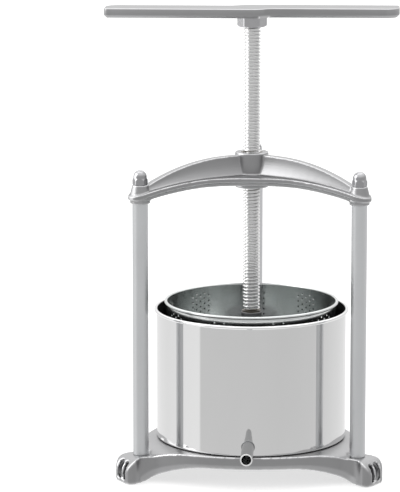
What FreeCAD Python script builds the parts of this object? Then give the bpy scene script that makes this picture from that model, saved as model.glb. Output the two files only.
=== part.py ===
import FreeCAD, Part
import os
from math import asin, cos, degrees, pi, radians, sin, sqrt, tan, atan2

# Tabletop fruit press.  Millimetres, +Z up, origin on the screw axis at table level, -Y is the front.
# Three columns stand on the feet of a cast base and carry a cast crossbar.  A trapezoidal screw runs in
# a bush in the crossbar and pushes a plate down into a perforated basket, which stands in a juice drum.

# ---- layout of the frame ----
ARM_ANGLES = (210.0, 330.0, 90.0)
ARM_NAMES = ("left", "right", "rear")
COLUMN_PITCH_RADIUS = 144.0
COLUMN_RADIUS = 9.0
COLUMN_BOTTOM = 30.0
COLUMN_LENGTH = 294.0

# ---- base casting ----
BASE_SIDE_DISTANCE = 114.0
BASE_SIDE_RADIUS = 223.0
BASE_NOSE_LENGTH = 26.0
LEG_HALF_WIDTH = 19.0
LEG_CORNER = 8.0
LEG_FILLET = 16.0
DECK_ROUND = 50.0
LEG_CUT_HALF_WIDTH = 60.0
COLUMN_POCKET = 3.0
BASE_TOP = 37.0
BASE_WALL = 4.5
SEAT_DEPTH = 0.6
ARCH_HEIGHT = 22.0
ARCH_FLAT_HALF = 45.0
ARCH_FOOT_HALF = 119.0
ARCH_DEPTH = 42.0
WINDOW_WIDTH = 20.0
WINDOW_SILL = 4.0
WINDOW_TOP = 24.0
WINDOW_RIB = 3.0
FOOT_BOSS_RADIUS = 12.0
FOOT_BOSS_BOTTOM = 13.0
BASE_RIB = 4.0
BASE_RIB_BOTTOM = 24.0

# ---- threaded fixings of the columns ----
STUD_RADIUS = 4.0
STUD_DEPTH = 16.0
STUD_HOLE_CLEARANCE = 0.4
THREAD_FIT = 0.05
BOLT_LENGTH = 32.0
BOLT_HEAD_FLATS = 13.0
BOLT_HEAD_HEIGHT = 5.3
WASHER_RADIUS = 8.0
WASHER_THICKNESS = 1.6
DOME_NUT_FLATS = 15.4
DOME_NUT_HEX = 7.5
DOME_NUT_HEIGHT = 17.0

# ---- crossbar casting ----
BAR_HALF_WIDTH = 16.5
BAR_END_RADIUS = 13.8
BAR_FILLET = 136.0
BAR_UNDERSIDE_RISE = 14.5
BAR_FLANGE = 9.4
BAR_FLAT_RADIUS = 50.0
BAR_ARCH_DROP = 11.5
BAR_BEVEL = 4.2
RIB_FOOT_HALF_WIDTH = 13.0
RIB_CREST_HALF_WIDTH = 5.0
RIB_HOLLOW = 2.2
RIB_CREST_RISE = 46.0
RIB_CREST_FLAT = 30.0
RIB_SHORT = 7.0
RIB_END_DROP = 26.5
BOSS_RADIUS = 19.4
BOSS_BOTTOM_RISE = 7.7
BOSS_TOP_RISE = 49.0
END_BOSS_RISE = 21.0
END_BOSS_TOP_RADIUS = 9.0
END_BOSS_FOOT_RADIUS = 13.2

# ---- screw, handle and press plate ----
SCREW_RADIUS = 10.0
SCREW_PITCH = 4.0
SCREW_ROOT_RADIUS = 7.75
SCREW_CLEARANCE = 0.05
BUSH_RADIUS = 12.6
HANDLE_OVER_BAR = 156.5
HANDLE_THICKNESS = 11.0
HANDLE_LENGTH = 338.0
HANDLE_LEADING_EDGE = 24.0
HANDLE_TRAILING_EDGE = 14.0
HANDLE_STEP_FILLET = 20.0
HANDLE_TIP_RADIUS = 16.0
HANDLE_CORNER_RADIUS = 4.5
HANDLE_BEVEL = 3.2
HANDLE_TOP_ROUND = 0.8
HANDLE_CROWN = 1.6
HANDLE_COVER = 3.0
LOCK_NUT_FLATS = 30.0
LOCK_NUT_HEIGHT = 11.5
NECK_RADIUS = 6.0
HUB_HEIGHT = 44.6
HUB_RADIUS = 12.0
HUB_FLANGE_RADIUS = 30.0
HUB_FLANGE = 5.0
HUB_COUNTERBORE_RADIUS = 9.5
HUB_COUNTERBORE_DEPTH = 4.5
RUNNING_CLEARANCE = 0.05
THRUST_WASHER = 1.4
RING_THICKNESS = 1.2
RING_GROOVE_DEPTH = 1.0
PLATE_LIFT = 87.5
PLATE_THICKNESS = 3.0
PLATE_CLEARANCE = 1.0
PLATE_SCREW_COUNT = 4
PLATE_SCREW_CIRCLE = 22.0
PLATE_SCREW_RADIUS = 2.0
PLATE_SCREW_HEAD = 3.8
SCREW_HEAD_SUNK = 0.1

# ---- drum, spout and basket ----
DRUM_RADIUS = 110.2
DRUM_HEIGHT = 153.0
DRUM_WALL = 1.0
DRUM_CORNER = 3.0
DRUM_BEAD = 2.0
SPOUT_RADIUS = 7.0
SPOUT_WALL = 1.5
SPOUT_HEIGHT = 12.0
SPOUT_REACH = 59.8
SPOUT_COLLAR_RADIUS = 10.0
SPOUT_COLLAR = 1.0
JUICE_GAP = 10.6
BASKET_STANDS_PROUD = 8.8
BASKET_WALL = 1.0
BASKET_BEAD = 1.8
BASKET_FLOOR_RAISE = 10.0
BASKET_FLOOR = 1.5
BASKET_FLOOR_FIT = 0.05
JUICE_SLOT_WIDTH = 12.0
STANDING_GAP = 0.3
DRAIN_ROWS = 4
DRAIN_HOLE_RADIUS = 2.0
DRAIN_ROW_STEP = 20.0

# ---- worked out from the sizes above ----
COLUMN_TOP = COLUMN_BOTTOM + COLUMN_LENGTH
BAR_UNDERSIDE = COLUMN_TOP + BAR_UNDERSIDE_RISE
RIB_CREST = COLUMN_TOP + RIB_CREST_RISE
BOSS_BOTTOM = COLUMN_TOP + BOSS_BOTTOM_RISE
BOSS_TOP = COLUMN_TOP + BOSS_TOP_RISE
RIB_END = COLUMN_PITCH_RADIUS - RIB_SHORT
END_BOSS_TOP = COLUMN_TOP + END_BOSS_RISE
HANDLE_BOTTOM = BOSS_TOP + HANDLE_OVER_BAR
SEAT_RADIUS = DRUM_RADIUS + 0.5
DRUM_BOTTOM = BASE_TOP - SEAT_DEPTH + STANDING_GAP
DRUM_TOP = DRUM_BOTTOM + DRUM_HEIGHT
DRUM_FLOOR_TOP = DRUM_BOTTOM + DRUM_WALL
BASKET_RADIUS = DRUM_RADIUS - DRUM_WALL - JUICE_GAP
BASKET_BOTTOM = DRUM_FLOOR_TOP + STANDING_GAP
BASKET_TOP = DRUM_TOP + BASKET_STANDS_PROUD
BASKET_FLOOR_BOTTOM = BASKET_BOTTOM + BASKET_FLOOR_RAISE
SPOUT_AXIS = DRUM_BOTTOM + SPOUT_HEIGHT
PLATE_TOP = BASKET_FLOOR_BOTTOM + BASKET_FLOOR + PLATE_LIFT + PLATE_THICKNESS
HUB_TOP = PLATE_TOP + HUB_HEIGHT
PLATE_RADIUS = BASKET_RADIUS - BASKET_WALL - PLATE_CLEARANCE
NOSE_DISTANCE = COLUMN_PITCH_RADIUS + BASE_NOSE_LENGTH
HANDLE_TOP = HANDLE_BOTTOM + HANDLE_THICKNESS
SCREW_SHOULDER = HUB_TOP + THRUST_WASHER
SCREW_TOP = HANDLE_TOP - HANDLE_COVER
NECK_BOTTOM = PLATE_TOP + 1.0
RING_TOP = PLATE_TOP + HUB_COUNTERBORE_DEPTH - RUNNING_CLEARANCE
ARCH_RADIUS = ((COLUMN_PITCH_RADIUS - BAR_FLAT_RADIUS) ** 2 + BAR_ARCH_DROP ** 2) / (2 * BAR_ARCH_DROP)
UP = FreeCAD.Vector(0, 0, 1)


def vec(x, y, z=0.0):
    return FreeCAD.Vector(x, y, z)


def cylinder(radius, bottom, top, x=0.0, y=0.0):
    return Part.makeCylinder(radius, top - bottom, vec(x, y, bottom))


def cone(bottom_radius, top_radius, bottom, top, x=0.0, y=0.0):
    return Part.makeCone(bottom_radius, top_radius, top - bottom, vec(x, y, bottom))


def turned(shape, angle):
    copy = shape.copy()
    copy.rotate(vec(0, 0), UP, angle)
    return copy


def face_of(points):
    corners = [vec(*p) for p in points]
    return Part.Face(Part.makePolygon(corners + [corners[0]]))


def revolved(outline):
    """Full turn about Z of a closed outline given as (radius, height) points."""
    return face_of([(r, 0.0, z) for r, z in outline]).revolve(vec(0, 0), UP, 360)


def plan_wire(outline, z):
    corners = [vec(x, y, z) for x, y in outline]
    return Part.makePolygon(corners + [corners[0]])


def prism(outline, bottom, top):
    """Upright solid on a plan outline given as (x, y) points."""
    return face_of([(x, y, bottom) for x, y in outline]).extrude(vec(0, 0, top - bottom))


def upright_slab(outline, half_width):
    """Solid whose side view (distance along +X, height) is the outline, centred on Y."""
    side = face_of([(x, -half_width, z) for x, z in outline])
    return side.extrude(vec(0, 2 * half_width, 0))


def hexagon(flats, bottom, top, x=0.0, y=0.0, first_corner=0.0):
    reach = flats / sqrt(3)
    angles = [radians(first_corner + 60 * i) for i in range(6)]
    return prism([(x + reach * cos(a), y + reach * sin(a)) for a in angles], bottom, top)


def arc_points(cx, cy, radius, start, end, steps):
    """Points on an arc, angles in degrees."""
    angles = [radians(start + (end - start) * i / steps) for i in range(steps + 1)]
    return [(cx + radius * cos(a), cy + radius * sin(a)) for a in angles]


def all_of(shapes):
    return shapes[0].multiFuse(shapes[1:]).removeSplitter() if len(shapes) > 1 else shapes[0]


def column_place(angle):
    return COLUMN_PITCH_RADIUS * cos(radians(angle)), COLUMN_PITCH_RADIUS * sin(radians(angle))


def at_columns(make):
    """One solid for each column, kept apart in one group."""
    return Part.makeCompound([make(*column_place(angle)) for angle in ARM_ANGLES])


# ---- base ----
def direction(angle):
    return vec(cos(radians(angle)), sin(radians(angle)))


def heading(start, end):
    """Compass angle in degrees from one plan point to another."""
    return degrees(atan2(end.y - start.y, end.x - start.x))


def touching_centre(first, first_reach, second, second_reach):
    """Centre of the circle that lies at the two given distances from two points, on their left."""
    gap = (second - first).Length
    along = (gap ** 2 + first_reach ** 2 - second_reach ** 2) / (2 * gap)
    off = sqrt(first_reach ** 2 - along ** 2)
    unit = (second - first) / gap
    return first + unit * along + vec(-unit.y, unit.x) * off


def base_plan(inset):
    """Three bowed sides that run through hollow fillets into three square-ended legs."""
    corner = LEG_CORNER - inset
    fillet = LEG_FILLET + inset
    side_radius = BASE_SIDE_RADIUS - inset
    # worked out once for the leg that points along +X and then turned; the side lies 60 degrees on
    leg_corner = vec(NOSE_DISTANCE - LEG_CORNER, LEG_HALF_WIDTH - LEG_CORNER)
    side_centre = direction(60) * (BASE_SIDE_DISTANCE - BASE_SIDE_RADIUS)
    hollow = touching_centre(side_centre, side_radius + fillet, leg_corner, corner + fillet)
    flare = heading(leg_corner, hollow)
    side_start = heading(side_centre, hollow)
    half = arc_points(leg_corner.x, leg_corner.y, corner, 0, flare, 8)
    half += arc_points(hollow.x, hollow.y, fillet, flare + 180, side_start + 180, 10)[1:]
    side = arc_points(side_centre.x, side_centre.y, side_radius, side_start, 120 - side_start, 18)[1:-1]
    other_half = [(x, -y) for x, y in reversed(half)]
    points = []
    for angle in ARM_ANGLES:
        c, s = cos(radians(angle)), sin(radians(angle))
        points += [(x * c - y * s, x * s + y * c) for x, y in other_half + half + side]
    return points


def arm_top_profile(drop):
    """Side view of what is cut away above a leg: a falling deck, the column seat, a rounded nose."""
    deck_start = SEAT_RADIUS + 2.0
    fall = BASE_TOP - COLUMN_BOTTOM
    deck_end = deck_start + sqrt(DECK_ROUND ** 2 - (DECK_ROUND - fall) ** 2)
    seat_end = COLUMN_PITCH_RADIUS + COLUMN_RADIUS - 2.0
    seat = COLUMN_BOTTOM - drop
    nose = NOSE_DISTANCE - drop
    nose_round = nose - seat_end
    deck = drop_curve(deck_start, DECK_ROUND, BASE_TOP - drop, deck_start, deck_end, 8)
    curve = arc_points(seat_end, seat - nose_round, nose_round, 90, 6, 12)
    return (deck + curve + [(nose + 5, curve[-1][1] - 9), (nose + 5, BASE_TOP + 9), (deck_start, BASE_TOP + 9)])


def base_block(inset):
    block = prism(base_plan(inset), 0.0 if inset == 0 else -1.0, BASE_TOP - inset)
    for angle in ARM_ANGLES:
        block = block.cut(turned(upright_slab(arm_top_profile(inset), LEG_CUT_HALF_WIDTH), angle))
    return block


def arch_hollow():
    """What is cut away under one long side, for the side that faces +X."""
    span = ARCH_FOOT_HALF - ARCH_FLAT_HALF
    radius = (span ** 2 + ARCH_HEIGHT ** 2) / (2 * ARCH_HEIGHT)
    half = drop_curve(ARCH_FLAT_HALF, radius, ARCH_HEIGHT, ARCH_FLAT_HALF, ARCH_FOOT_HALF, 14)
    outline = [(-u, z) for u, z in reversed(half)] + half + [(ARCH_FOOT_HALF, -9.0), (-ARCH_FOOT_HALF, -9.0)]
    inner = BASE_SIDE_DISTANCE + 2.0 - ARCH_DEPTH
    return face_of([(inner, u, z) for u, z in outline]).extrude(vec(ARCH_DEPTH, 0, 0))


def base_casting():
    body = base_block(0.0).cut(base_block(BASE_WALL))
    arch = arch_hollow()
    for angle in ARM_ANGLES:
        body = body.cut(turned(arch, angle + 180))
    extras = []
    for angle in ARM_ANGLES:
        x, y = column_place(angle)
        boss = cylinder(FOOT_BOSS_RADIUS, FOOT_BOSS_BOTTOM, COLUMN_BOTTOM - 1.0, x, y)
        rib = Part.makeBox(COLUMN_PITCH_RADIUS, BASE_RIB, BASE_TOP - BASE_WALL - BASE_RIB_BOTTOM + 1.0,
                           vec(0, -BASE_RIB / 2, BASE_RIB_BOTTOM))
        extras += [boss, turned(rib.common(base_block(1.0)), angle)]
        middle = COLUMN_PITCH_RADIUS + FOOT_BOSS_RADIUS - 3.0
        web = Part.makeBox(NOSE_DISTANCE - middle, WINDOW_RIB, COLUMN_BOTTOM, vec(middle, -WINDOW_RIB / 2, 0))
        window = Part.makeBox(BASE_WALL * 5, WINDOW_WIDTH, WINDOW_TOP - WINDOW_SILL,
                              vec(NOSE_DISTANCE - BASE_WALL * 3, -WINDOW_WIDTH / 2, WINDOW_SILL))
        body = body.cut(turned(window, angle))
        extras.append(turned(web, angle).common(base_block(1.2)))
    body = all_of([body] + extras)
    body = body.cut(cylinder(SEAT_RADIUS, BASE_TOP - SEAT_DEPTH, BASE_TOP + 5))
    for angle in ARM_ANGLES:
        x, y = column_place(angle)
        body = body.cut(cylinder(COLUMN_RADIUS + COLUMN_POCKET, COLUMN_BOTTOM, BASE_TOP + 5, x, y))
        body = body.cut(cylinder(STUD_RADIUS + STUD_HOLE_CLEARANCE, 0, COLUMN_BOTTOM + 5, x, y))
    return body


# ---- columns and their fixings ----
def column(angle):
    x, y = column_place(angle)
    bar = cylinder(COLUMN_RADIUS, COLUMN_BOTTOM, COLUMN_TOP, x, y)
    edges = [e for e in bar.Edges if isinstance(e.Curve, Part.Circle)]
    bar = bar.makeChamfer(0.6, edges)
    hole = STUD_RADIUS + THREAD_FIT
    return bar.cut(cylinder(hole, COLUMN_TOP - STUD_DEPTH - 2, COLUMN_TOP + 1, x, y)).cut(
        cylinder(hole, COLUMN_BOTTOM - 1, COLUMN_BOTTOM + STUD_DEPTH + 2, x, y))


def column_stud(x, y):
    return cylinder(STUD_RADIUS, COLUMN_TOP - STUD_DEPTH, END_BOSS_TOP + DOME_NUT_HEX + 3.0, x, y)


def dome_nut(x, y):
    bottom = END_BOSS_TOP
    corner = DOME_NUT_FLATS / sqrt(3)
    hexed = hexagon(DOME_NUT_FLATS, bottom, bottom + DOME_NUT_HEX, x, y)
    dome_radius = DOME_NUT_FLATS / 2
    straight = cylinder(dome_radius, bottom, bottom + DOME_NUT_HEIGHT - dome_radius, x, y)
    dome = Part.makeSphere(dome_radius, vec(x, y, bottom + DOME_NUT_HEIGHT - dome_radius))
    shoulder = cone(corner + DOME_NUT_HEX, dome_radius - 0.5, bottom, bottom + DOME_NUT_HEX + 0.6, x, y)
    nut = all_of([hexed.common(shoulder), straight, dome])
    return nut.cut(cylinder(STUD_RADIUS + THREAD_FIT, bottom - 1, bottom + DOME_NUT_HEX + 3.4, x, y))


def column_washer(x, y):
    ring = cylinder(WASHER_RADIUS, FOOT_BOSS_BOTTOM - WASHER_THICKNESS, FOOT_BOSS_BOTTOM, x, y)
    return ring.cut(cylinder(STUD_RADIUS + STUD_HOLE_CLEARANCE, 0, COLUMN_BOTTOM, x, y))


def column_bolt(x, y):
    under = FOOT_BOSS_BOTTOM - WASHER_THICKNESS
    head = hexagon(BOLT_HEAD_FLATS, under - BOLT_HEAD_HEIGHT, under, x, y)
    top = min(under + BOLT_LENGTH, COLUMN_BOTTOM + STUD_DEPTH)
    return head.fuse(cylinder(STUD_RADIUS, under, top, x, y)).removeSplitter()


# ---- crossbar ----
def drop_curve(flat, radius, crest, start, end, steps=16):
    """Side view that is level out to 'flat' and then falls away on an arc of the given radius."""
    points = []
    for i in range(steps + 1):
        r = start + (end - start) * i / steps
        past = max(0.0, r - flat)
        points.append((r, crest - radius + sqrt(radius ** 2 - past ** 2)))
    return points


def bar_plan(inset):
    """Three arms with round ends, their sides joined by wide hollow curves."""
    half = BAR_HALF_WIDTH - inset
    fillet = BAR_FILLET + inset
    centre_distance = (half + fillet) / sin(radians(60))
    end_radius = BAR_END_RADIUS - inset
    points = []
    for angle in ARM_ANGLES:
        along = vec(cos(radians(angle)), sin(radians(angle)))
        ex, ey = COLUMN_PITCH_RADIUS * along.x, COLUMN_PITCH_RADIUS * along.y
        points += arc_points(ex, ey, end_radius, angle - 84, angle + 84, 18)
        middle = angle + 60
        cx, cy = centre_distance * cos(radians(middle)), centre_distance * sin(radians(middle))
        points += arc_points(cx, cy, fillet, angle - 90 + 360, angle + 210, 20)
    return points


def bar_flange():
    reach = COLUMN_PITCH_RADIUS + BAR_END_RADIUS + 5
    lower = drop_curve(BAR_FLAT_RADIUS, ARCH_RADIUS, BAR_UNDERSIDE, 0.0, reach)
    upper = drop_curve(BAR_FLAT_RADIUS, ARCH_RADIUS, BAR_UNDERSIDE + BAR_FLANGE, 0.0, reach)
    middle = drop_curve(BAR_FLAT_RADIUS, ARCH_RADIUS, BAR_UNDERSIDE + BAR_BEVEL, 0.0, reach)
    bottom, top = BAR_UNDERSIDE - 60, BAR_UNDERSIDE + 60
    upper_half = revolved(middle + upper[::-1]).common(prism(bar_plan(0.0), bottom, top))
    lower_half = revolved(lower + middle[::-1]).common(prism(bar_plan(BAR_BEVEL * 0.6), bottom, top))
    return upper_half.fuse(lower_half)


def rib_section(reach):
    """Upright section across an arm: a narrow crest that widens in a hollow curve to its foot."""
    fall_radius = ((RIB_END - RIB_CREST_FLAT) ** 2 + RIB_END_DROP ** 2) / (2 * RIB_END_DROP)
    past_crest = max(0.0, reach - RIB_CREST_FLAT)
    crest = RIB_CREST - fall_radius + sqrt(fall_radius ** 2 - past_crest ** 2)
    past_foot = max(0.0, reach - BAR_FLAT_RADIUS)
    foot = BAR_UNDERSIDE + BAR_FLANGE / 2 - ARCH_RADIUS + sqrt(ARCH_RADIUS ** 2 - past_foot ** 2)
    spread = RIB_FOOT_HALF_WIDTH - RIB_CREST_HALF_WIDTH
    steps = 8
    side = []
    for i in range(steps + 1):
        share = i / steps
        side.append((RIB_CREST_HALF_WIDTH + spread * (1 - share) ** RIB_HOLLOW, foot + (crest - foot) * share))
    corners = [vec(reach, y, z) for y, z in side] + [vec(reach, -y, z) for y, z in reversed(side)]
    return Part.makePolygon(corners + [corners[0]])


def arm_rib():
    count = 14
    return Part.makeLoft([rib_section(RIB_END * i / count) for i in range(count + 1)], True, True)


def crossbar():
    boss = cylinder(BOSS_RADIUS, BOSS_BOTTOM, BOSS_TOP)
    boss = boss.makeFillet(1.2, [e for e in boss.Edges if isinstance(e.Curve, Part.Circle)])
    parts = [bar_flange(), boss]
    rib = arm_rib()
    for angle in ARM_ANGLES:
        x, y = column_place(angle)
        parts.append(turned(rib, angle))
        parts.append(cone(END_BOSS_FOOT_RADIUS, END_BOSS_TOP_RADIUS, COLUMN_TOP + 4, END_BOSS_TOP, x, y))
        parts.append(cylinder(COLUMN_RADIUS + 2.5, COLUMN_TOP, COLUMN_TOP + 6, x, y))
    body = all_of(parts)
    body = body.cut(cylinder(BUSH_RADIUS, BOSS_BOTTOM - 5, BOSS_TOP + 5))
    for angle in ARM_ANGLES:
        x, y = column_place(angle)
        body = body.cut(cylinder(STUD_RADIUS + STUD_HOLE_CLEARANCE, COLUMN_TOP - 5, END_BOSS_TOP + 5, x, y))
    return body


def spindle_bush():
    bush = cylinder(BUSH_RADIUS, BOSS_BOTTOM - 0.6, BOSS_TOP - 0.8)
    return bush.cut(cylinder(SCREW_RADIUS + SCREW_CLEARANCE, BOSS_BOTTOM - 5, BOSS_TOP + 5))


# ---- screw and handle ----
def spindle():
    """Screw body as thread rings at the true pitch, with a plain neck for the plate hub."""
    depth = SCREW_RADIUS - SCREW_ROOT_RADIUS
    flank = depth * tan(radians(15))
    crest = (SCREW_PITCH - 2 * flank) / 2
    turns = int((SCREW_TOP - SCREW_SHOULDER - 3.0) / SCREW_PITCH)
    groove_bottom = NECK_RADIUS - RING_GROOVE_DEPTH
    outline = [(0.0, NECK_BOTTOM), (NECK_RADIUS, NECK_BOTTOM), (NECK_RADIUS, RING_TOP - RING_THICKNESS),
               (groove_bottom, RING_TOP - RING_THICKNESS), (groove_bottom, RING_TOP),
               (NECK_RADIUS, RING_TOP), (NECK_RADIUS, SCREW_SHOULDER), (SCREW_ROOT_RADIUS, SCREW_SHOULDER)]
    for i in range(turns):
        start = SCREW_SHOULDER + 1.0 + i * SCREW_PITCH
        outline += [(SCREW_ROOT_RADIUS, start), (SCREW_RADIUS, start + flank),
                    (SCREW_RADIUS, start + flank + crest), (SCREW_ROOT_RADIUS, start + 2 * flank + crest)]
    outline += [(SCREW_ROOT_RADIUS, SCREW_TOP), (0.0, SCREW_TOP)]
    return revolved(outline)


def handle_outline():
    """Half of the plan: from the left tip along the leading edge, round the hub and out to the right."""
    tip = HANDLE_LENGTH / 2
    hub = HANDLE_LEADING_EDGE
    step = HANDLE_STEP_FILLET
    centre_y = -HANDLE_TRAILING_EDGE - step
    centre_x = sqrt((hub + step) ** 2 - centre_y ** 2)
    swing = degrees(asin(centre_x / (hub + step)))
    r = HANDLE_CORNER_RADIUS
    rr = HANDLE_TIP_RADIUS
    points = arc_points(-tip + r, -HANDLE_LEADING_EDGE + r, r, 180, 270, 6)
    points += arc_points(0.0, 0.0, hub, -90, -90 + swing, 10)
    points += arc_points(centre_x, centre_y, step, 90 + swing, 90, 10)[1:]
    points += arc_points(tip - rr, -HANDLE_TRAILING_EDGE + rr, rr, 270, 360, 14)
    return points


def handle():
    half = handle_outline()
    outline = half + [(-x, -y) for x, y in half]
    levels = ((shrunk(outline, HANDLE_BEVEL), HANDLE_BOTTOM),
              (outline, HANDLE_BOTTOM + HANDLE_BEVEL),
              (outline, HANDLE_TOP - HANDLE_TOP_ROUND),
              (shrunk(outline, HANDLE_TOP_ROUND), HANDLE_TOP))
    blade = Part.makeLoft([plan_wire(line, z) for line, z in levels], True, True)
    crown_base = HANDLE_LEADING_EDGE - 4.0
    ball = (crown_base ** 2 + HANDLE_CROWN ** 2) / (2 * HANDLE_CROWN)
    crown = Part.makeSphere(ball, vec(0, 0, HANDLE_TOP + HANDLE_CROWN - ball)).common(
        cylinder(crown_base + 1, HANDLE_TOP - 1, HANDLE_TOP + HANDLE_CROWN + 1))
    body = blade.fuse(crown)
    return body.cut(cylinder(SCREW_RADIUS + SCREW_CLEARANCE, HANDLE_BOTTOM - 1, SCREW_TOP + 0.2))


def shrunk(outline, inset):
    """Plan outline moved inwards by the inset along the normal at each point."""
    count = len(outline)
    moved = []
    for i, (x, y) in enumerate(outline):
        before, after = outline[i - 1], outline[(i + 1) % count]
        first = vec(x - before[0], y - before[1]).normalize()
        second = vec(after[0] - x, after[1] - y).normalize()
        normal = vec(-first.y - second.y, first.x + second.x)
        scale = inset / (normal.Length / 2) / normal.Length
        moved.append((x + normal.x * scale, y + normal.y * scale))
    return moved


def handle_lock_nut():
    bottom = HANDLE_BOTTOM - LOCK_NUT_HEIGHT
    nut = hexagon(LOCK_NUT_FLATS, bottom, HANDLE_BOTTOM)
    start = LOCK_NUT_FLATS / 2 - 0.5
    slope = tan(radians(30))
    trim = cone(start, start + LOCK_NUT_HEIGHT / slope, bottom, HANDLE_BOTTOM)
    return nut.common(trim).cut(cylinder(SCREW_RADIUS + SCREW_CLEARANCE, bottom - 1, HANDLE_BOTTOM + 1))


# ---- press plate ----
def plate_screw_places():
    angles = [radians(45 + 360 * i / PLATE_SCREW_COUNT) for i in range(PLATE_SCREW_COUNT)]
    return [(PLATE_SCREW_CIRCLE * cos(a), PLATE_SCREW_CIRCLE * sin(a)) for a in angles]


def press_plate():
    bottom = PLATE_TOP - PLATE_THICKNESS
    disc = cylinder(PLATE_RADIUS, bottom, PLATE_TOP)
    disc = disc.makeFillet(0.9, [e for e in disc.Edges if isinstance(e.Curve, Part.Circle)])
    for x, y in plate_screw_places():
        sink = PLATE_SCREW_HEAD - PLATE_SCREW_RADIUS
        disc = disc.cut(cylinder(PLATE_SCREW_RADIUS + THREAD_FIT, bottom - 1, PLATE_TOP + 1, x, y))
        disc = disc.cut(cone(PLATE_SCREW_HEAD + THREAD_FIT, PLATE_SCREW_RADIUS + THREAD_FIT,
                             bottom, bottom + sink, x, y))
    return disc


def plate_hub():
    flange_top = PLATE_TOP + HUB_FLANGE
    neck_start = flange_top + HUB_RADIUS / 2
    body = revolved([(0, PLATE_TOP), (HUB_FLANGE_RADIUS, PLATE_TOP), (HUB_FLANGE_RADIUS, flange_top - 1),
                     (HUB_FLANGE_RADIUS - 1, flange_top), (HUB_RADIUS + 4, flange_top),
                     (HUB_RADIUS, neck_start), (HUB_RADIUS, HUB_TOP - 0.8), (HUB_RADIUS - 0.8, HUB_TOP),
                     (0, HUB_TOP)])
    body = body.cut(cylinder(NECK_RADIUS + RUNNING_CLEARANCE, PLATE_TOP - 1, HUB_TOP + 1))
    body = body.cut(cylinder(HUB_COUNTERBORE_RADIUS, PLATE_TOP - 1, PLATE_TOP + HUB_COUNTERBORE_DEPTH))
    for x, y in plate_screw_places():
        body = body.cut(cylinder(PLATE_SCREW_RADIUS + THREAD_FIT, PLATE_TOP - 1, flange_top - 0.8, x, y))
    return body


def plate_screws():
    bottom = PLATE_TOP - PLATE_THICKNESS
    sink = PLATE_SCREW_HEAD - PLATE_SCREW_RADIUS
    screws = []
    for x, y in plate_screw_places():
        head = cone(PLATE_SCREW_HEAD - SCREW_HEAD_SUNK, PLATE_SCREW_RADIUS,
                    bottom + SCREW_HEAD_SUNK, bottom + sink, x, y)
        shank = cylinder(PLATE_SCREW_RADIUS, bottom + sink, PLATE_TOP + HUB_FLANGE - 1.0, x, y)
        screws.append(head.fuse(shank))
    return Part.makeCompound(screws)


def thrust_washer():
    ring = cylinder(HUB_RADIUS - 1.0, HUB_TOP, SCREW_SHOULDER)
    return ring.cut(cylinder(NECK_RADIUS + RUNNING_CLEARANCE, HUB_TOP - 1, SCREW_SHOULDER + 1))


def retaining_ring():
    bottom = RING_TOP - RING_THICKNESS
    ring = cylinder(HUB_COUNTERBORE_RADIUS - 0.7, bottom + 0.02, RING_TOP - 0.02)
    ring = ring.cut(cylinder(NECK_RADIUS - RING_GROOVE_DEPTH + 0.05, bottom - 1, RING_TOP + 1))
    return ring.cut(Part.makeBox(20, 3, 5, vec(0, -1.5, bottom - 1)))


# ---- drum and basket ----
def drum():
    inner = DRUM_RADIUS - DRUM_WALL
    bead_centre = DRUM_TOP - DRUM_BEAD
    corner = arc_points(DRUM_RADIUS - DRUM_CORNER, DRUM_BOTTOM + DRUM_CORNER, DRUM_CORNER, 270, 360, 6)
    inside = arc_points(DRUM_RADIUS - DRUM_CORNER, DRUM_BOTTOM + DRUM_CORNER, DRUM_CORNER - DRUM_WALL,
                        360, 270, 6)
    shell = revolved([(0.0, DRUM_BOTTOM)] + corner + [(DRUM_RADIUS, bead_centre), (inner, bead_centre)]
                     + inside + [(0.0, DRUM_FLOOR_TOP)])
    bead = Part.makeTorus(DRUM_RADIUS - DRUM_WALL + DRUM_BEAD, DRUM_BEAD, vec(0, 0, bead_centre))
    body = shell.fuse(bead).removeSplitter()
    outlet = Part.makeCylinder(SPOUT_RADIUS - SPOUT_WALL, 20, vec(0, -inner + 8, SPOUT_AXIS), vec(0, -1, 0))
    return body.cut(outlet)


def spout():
    start = DRUM_RADIUS - 4.0
    length = SPOUT_REACH + 4.0
    tube = Part.makeCylinder(SPOUT_RADIUS, length, vec(0, -start, SPOUT_AXIS), vec(0, -1, 0))
    tube = tube.cut(Part.makeCylinder(SPOUT_RADIUS - SPOUT_WALL, length + 9, vec(0, -start + 4, SPOUT_AXIS),
                                      vec(0, -1, 0)))
    return tube.cut(cylinder(DRUM_RADIUS, DRUM_BOTTOM - 5, DRUM_TOP))


def spout_collar():
    reach = sqrt(DRUM_RADIUS ** 2 - SPOUT_COLLAR_RADIUS ** 2)
    disc = Part.makeCylinder(SPOUT_COLLAR_RADIUS, 6.0, vec(0, -reach + 2, SPOUT_AXIS), vec(0, -1, 0))
    disc = disc.common(cylinder(DRUM_RADIUS + SPOUT_COLLAR, DRUM_BOTTOM - 9, DRUM_TOP))
    disc = disc.common(cylinder(DRUM_RADIUS * 2, BASE_TOP + STANDING_GAP, DRUM_TOP))
    disc = disc.cut(cylinder(DRUM_RADIUS, DRUM_BOTTOM - 9, DRUM_TOP))
    return disc.cut(Part.makeCylinder(SPOUT_RADIUS, DRUM_RADIUS * 2, vec(0, 0, SPOUT_AXIS), vec(0, -1, 0)))


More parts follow.
